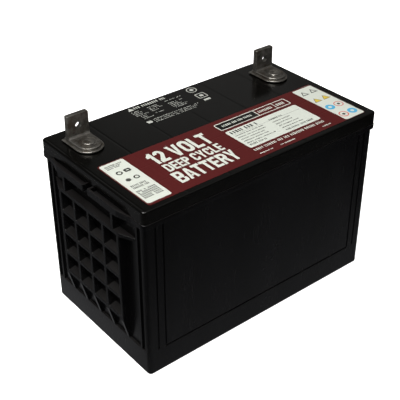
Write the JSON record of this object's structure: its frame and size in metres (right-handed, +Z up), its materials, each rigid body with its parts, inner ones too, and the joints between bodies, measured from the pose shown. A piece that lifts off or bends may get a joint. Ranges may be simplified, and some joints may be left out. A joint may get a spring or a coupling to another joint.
{
  "type": "deep cycle battery",
  "caption": "Deep cycle battery: ribbed moulded case with lift ledges, welded lid, upright lead blade terminals with bolt holes, and plate groups in sealed cells.",
  "frame": {"origin": "centre of the rectangular footprint, on the surface the battery stands on", "axes": "+X along the length towards the negative terminal, +Y across the width towards the terminal side, +Z up"},
  "size_m": [0.32, 0.1772, 0.2305],
  "materials": {
    "case_plastic": "semi-gloss moulded",
    "lid_plastic": "semi-gloss moulded",
    "label_film": "gloss printed film",
    "porous_plastic": "porous sintered disc",
    "terminal_lead": "tarnished cast lead",
    "inner_lead": "clean cast lead",
    "seal_rubber": "matt",
    "valve_rubber": "matt",
    "positive_plate": "pasted lead oxide, matt",
    "negative_plate": "pasted sponge lead, matt",
    "glass_mat": "glass fibre mat"
  },
  "bodies": {
    "battery": {"case": "case_plastic", "end_frame_left": "case_plastic", "end_frame_right": "case_plastic", "cell_partitions": "case_plastic", "end_ribs_left": "case_plastic", "end_ribs_right": "case_plastic", "lift_ledges_left": "case_plastic", "lift_ledges_right": "case_plastic", "lid": "lid_plastic", "lid_skirt": "lid_plastic", "lid_ribs": "lid_plastic", "vent_trough": "lid_plastic", "terminal_towers": "lid_plastic", "vent_cover": "lid_plastic", "top_label": "label_film", "flame_arrestor": "porous_plastic", "terminal_positive": "terminal_lead", "terminal_negative": "terminal_lead", "post_positive": "terminal_lead", "post_negative": "terminal_lead", "post_seal_positive": "seal_rubber", "post_seal_negative": "seal_rubber", "intercell_welds": "inner_lead", "cell_1_positive_plates": "positive_plate", "cell_1_negative_plates": "negative_plate", "cell_1_separators": "glass_mat", "cell_1_positive_strap": "inner_lead", "cell_1_negative_strap": "inner_lead", "cell_2_positive_plates": "positive_plate", "cell_2_negative_plates": "negative_plate", "cell_2_separators": "glass_mat", "cell_2_positive_strap": "inner_lead", "cell_2_negative_strap": "inner_lead", "cell_3_positive_plates": "positive_plate", "cell_3_negative_plates": "negative_plate", "cell_3_separators": "glass_mat", "cell_3_positive_strap": "inner_lead", "cell_3_negative_strap": "inner_lead", "cell_4_positive_plates": "positive_plate", "cell_4_negative_plates": "negative_plate", "cell_4_separators": "glass_mat", "cell_4_positive_strap": "inner_lead", "cell_4_negative_strap": "inner_lead", "cell_5_positive_plates": "positive_plate", "cell_5_negative_plates": "negative_plate", "cell_5_separators": "glass_mat", "cell_5_positive_strap": "inner_lead", "cell_5_negative_strap": "inner_lead", "cell_6_positive_plates": "positive_plate", "cell_6_negative_plates": "negative_plate", "cell_6_separators": "glass_mat", "cell_6_positive_strap": "inner_lead", "cell_6_negative_strap": "inner_lead"},
    "valve_cap_1": {"valve_cap_1": "valve_rubber"},
    "valve_cap_2": {"valve_cap_2": "valve_rubber"},
    "valve_cap_3": {"valve_cap_3": "valve_rubber"},
    "valve_cap_4": {"valve_cap_4": "valve_rubber"},
    "valve_cap_5": {"valve_cap_5": "valve_rubber"},
    "valve_cap_6": {"valve_cap_6": "valve_rubber"}
  },
  "joints": [
    {"name": "valve_lift_1", "type": "slide", "parent": "battery", "child": "valve_cap_1", "axis": [0, 0, 1], "range_m": [0, 0.0006], "stiffness_N_per_m": 60, "springref_m": -0.0003},
    {"name": "valve_lift_2", "type": "slide", "parent": "battery", "child": "valve_cap_2", "axis": [0, 0, 1], "range_m": [0, 0.0006], "stiffness_N_per_m": 60, "springref_m": -0.0003},
    {"name": "valve_lift_3", "type": "slide", "parent": "battery", "child": "valve_cap_3", "axis": [0, 0, 1], "range_m": [0, 0.0006], "stiffness_N_per_m": 60, "springref_m": -0.0003},
    {"name": "valve_lift_4", "type": "slide", "parent": "battery", "child": "valve_cap_4", "axis": [0, 0, 1], "range_m": [0, 0.0006], "stiffness_N_per_m": 60, "springref_m": -0.0003},
    {"name": "valve_lift_5", "type": "slide", "parent": "battery", "child": "valve_cap_5", "axis": [0, 0, 1], "range_m": [0, 0.0006], "stiffness_N_per_m": 60, "springref_m": -0.0003},
    {"name": "valve_lift_6", "type": "slide", "parent": "battery", "child": "valve_cap_6", "axis": [0, 0, 1], "range_m": [0, 0.0006], "stiffness_N_per_m": 60, "springref_m": -0.0003}
  ]
}
